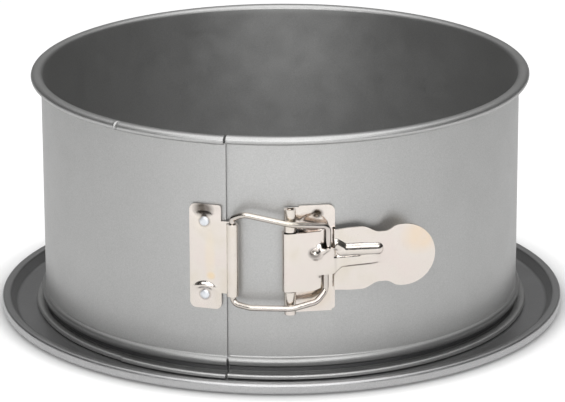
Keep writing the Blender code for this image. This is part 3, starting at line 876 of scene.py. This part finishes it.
def bail_route():
    """The wire's middle line, from one end under the saddle round the catch plate's ear to the
    other. Each corner is its place in plan, its height and its radius."""
    ear = front(CATCH_TURN) @ Vector((EAR_REACH, -(CATCH_SEAT + PLATE_SHEET / 2 + KNUCKLE_RADIUS), 0))
    corners = [
        ((18.55, -101.35), 52.6, 0),
        ((18.55, -101.35), 65.6, 3.0),
        ((4.1, -107.6), 68.1, 12),
        ((-14.8, -105.7), 71.9, 5),
        (ear, 69.3, 2.2),
        (ear, 33.6, 3.4),
        ((-12.5, -106.2), 32.9, 6),
        ((4.1, -107.6), 32.9, 12),
        ((14.0, -104.6), 34.8, 5),
        ((17.55, -101.35), 38.5, 3.4),
        ((17.55, -101.35), 52.0, 0),
    ]
    points = [(Vector((spot[0], spot[1], z)), radius) for spot, z, radius in corners]
    route = [points[0][0]]
    for (before, _), (here, radius), (after, _) in zip(points, points[1:], points[2:]):
        back, ahead = (before - here).normalized(), (after - here).normalized()
        reach = radius / math.tan(back.angle(ahead) / 2)
        first, last = here + back * reach, here + ahead * reach
        for t in spaced(0.0, 1.0, CORNER_STEPS):
            route.append(first * (1 - t) ** 2 + here * 2 * t * (1 - t) + last * t * t)
    return route + [points[-1][0]]


def make_bail():
    """The wire as a tube whose rings are carried along the route without twisting."""
    route, sides = bail_route(), WIRE_SIDES
    points, faces = [], []
    across = Vector((1, 0, 0))
    for i, spot in enumerate(route):
        along = (route[min(i + 1, len(route) - 1)] - route[max(i - 1, 0)]).normalized()
        across = (across - along * across.dot(along)).normalized()
        beside = along.cross(across)
        for k in range(sides):
            angle = 2 * math.pi * k / sides
            points.append(spot + (across * math.cos(angle) + beside * math.sin(angle)) * WIRE_RADIUS)
    for i in range(len(route) - 1):
        for k in range(sides):
            a, b = i * sides + k, i * sides + (k + 1) % sides
            faces.append([a, b, b + sides, a + sides])
    faces.append(list(range(sides))[::-1])
    faces.append(list(range(len(points) - sides, len(points))))
    bail = piece_from("bail_wire", points, faces, NICKEL_WIRE)
    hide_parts("wire_bail")
    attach(bail, "bail")


# ---------------------------------------------------------------- studio

# Lengths here are in metres, and light powers in watts.
LOW_LIGHT = 0.3
FRONT_DARK = 0.95
FRONT_ZONE = (-0.45, -0.85)
SIDE_ZONE = (0.35, 0.8)
SIDE_SHARE = 0.8
LOW_ZONE = (0.5, 0.72)
WORLD_STRENGTH = 0.6
TOP_POWER = 14.0
FRONT_POWER = 12.5
SPILL_POWER = 5.0
FLOOR_HALF = 12.0
FLOOR_GLOW = 0.34
PAPER = 0.93
SHADE_NEAR = 0.45
SHADE_MIDDLE = 0.72
SHADE_RING = (0.1195, 0.1345)
CAMERA_PLACE = (0.0, -1.45585, 0.51453)
CAMERA_TILT = 72.063
CAMERA_ROLL = -0.222


def make_floor():
    """White paper with a soft contact shade round the tray. The shade and the glow are seen by the
    camera alone."""
    mesh = bpy.data.meshes.new("studio_floor")
    work = bmesh.new()
    bmesh.ops.create_grid(work, x_segments=1, y_segments=1, size=FLOOR_HALF)
    work.to_mesh(mesh)
    work.free()
    floor = bpy.data.objects.new("studio_floor", mesh)
    link(floor)
    material = bpy.data.materials.new("floor_paper")
    material.use_nodes = True
    tree = material.node_tree
    shader = tree.nodes["Principled BSDF"]
    place = node(tree, "ShaderNodeTexCoord").outputs["Object"]
    reach = node(tree, "ShaderNodeVectorMath", operation="LENGTH")
    tree.links.new(place, reach.inputs[0])
    away = span(tree, reach.outputs["Value"], *SHADE_RING, 0.0, 1.0)
    stops = ((0.0, SHADE_NEAR), (0.35, SHADE_MIDDLE), (1.0, PAPER))
    shade = ramp(tree, away, *[(spot, (tone,) * 3) for spot, tone in stops])
    seen = node(tree, "ShaderNodeLightPath").outputs["Is Camera Ray"]
    plain = ramp(tree, reach.outputs["Value"], (0.0, (PAPER,) * 3), (1.0, (1.0,) * 3))
    tree.links.new(mixed(tree, seen, plain, shade), shader.inputs["Base Color"])
    tree.links.new(shade, shader.inputs["Emission Color"])
    glow = math_node(tree, "MULTIPLY", seen, FLOOR_GLOW)
    tree.links.new(glow, shader.inputs["Emission Strength"])
    shader.inputs["Roughness"].default_value = 0.9
    shader.inputs["Specular IOR Level"].default_value = 0.1
    floor.data.materials.append(material)


def make_world():
    """A white room, bright overhead, dim low down at the sides and dark in front above the floor."""
    world = bpy.data.worlds.new("studio")
    bpy.context.scene.world = world
    world.use_nodes = True
    tree = world.node_tree
    background = tree.nodes["Background"]
    direction = node(tree, "ShaderNodeTexCoord").outputs["Generated"]
    parts = node(tree, "ShaderNodeSeparateXYZ")
    tree.links.new(direction, parts.inputs["Vector"])
    rise = ramp(
        tree,
        parts.outputs["Z"],
        (0.0, (LOW_LIGHT,) * 3),
        (0.5, (LOW_LIGHT * 1.2,) * 3),
        (0.85, (1.0, 1.0, 1.0)),
    )
    front_side = span(tree, parts.outputs["Y"], *FRONT_ZONE, 0.0, 1.0)
    across = math_node(tree, "ABSOLUTE", parts.outputs["X"])
    sideways = span(tree, across, *SIDE_ZONE, 0.0, SIDE_SHARE)
    low = span(tree, parts.outputs["Z"], *LOW_ZONE, 1.0, 0.0)
    both = math_node(tree, "MAXIMUM", front_side, sideways)
    shade = math_node(tree, "MULTIPLY", both, low)
    dark = math_node(tree, "MULTIPLY_ADD", shade, -FRONT_DARK, 1.0)
    strength = math_node(tree, "MULTIPLY", dark, WORLD_STRENGTH)
    tree.links.new(rise, background.inputs["Color"])
    tree.links.new(strength, background.inputs["Strength"])


def area_light(name, place, target, size, power):
    """A softbox at a place, facing a target."""
    data = bpy.data.lights.new(name, "AREA")
    data.shape = "RECTANGLE"
    data.size, data.size_y = size
    data.energy = power
    lamp = bpy.data.objects.new(name, data)
    lamp.location = place
    lamp.rotation_euler = (Vector(target) - Vector(place)).to_track_quat("-Z", "Y").to_euler()
    link(lamp)


def make_camera():
    data = bpy.data.cameras.new("camera")
    data.sensor_width = 36.0
    data.lens = 228.77
    data.shift_x = 0.0022
    data.clip_start = 0.05
    data.clip_end = 40.0
    camera = bpy.data.objects.new("camera", data)
    tilt = Matrix.Rotation(math.radians(CAMERA_TILT), 4, "X")
    roll = Matrix.Rotation(math.radians(CAMERA_ROLL), 4, "Z")
    camera.matrix_world = Matrix.Translation(CAMERA_PLACE) @ (tilt @ roll)
    link(camera)
    bpy.context.scene.camera = camera


def make_studio():
    make_floor()
    make_world()
    area_light("top_softbox", (0.0, -0.1, 1.6), (0, 0, 0.05), (1.8, 1.8), TOP_POWER)
    area_light("front_softbox", (-0.1, -1.9, 0.62), (0, 0, 0.05), (1.9, 0.5), FRONT_POWER)
    area_light("floor_softbox", (0.0, -0.72, 0.6), (0, -0.6, 0.0), (1.7, 0.4), SPILL_POWER)
    make_camera()
    bpy.context.scene.view_settings.view_transform = "Standard"
    bpy.context.scene.view_settings.look = "None"


make_base()
make_band()
make_catch()
make_bracket()
make_rivets()
make_pin()
make_lever()
make_bail()
make_studio()
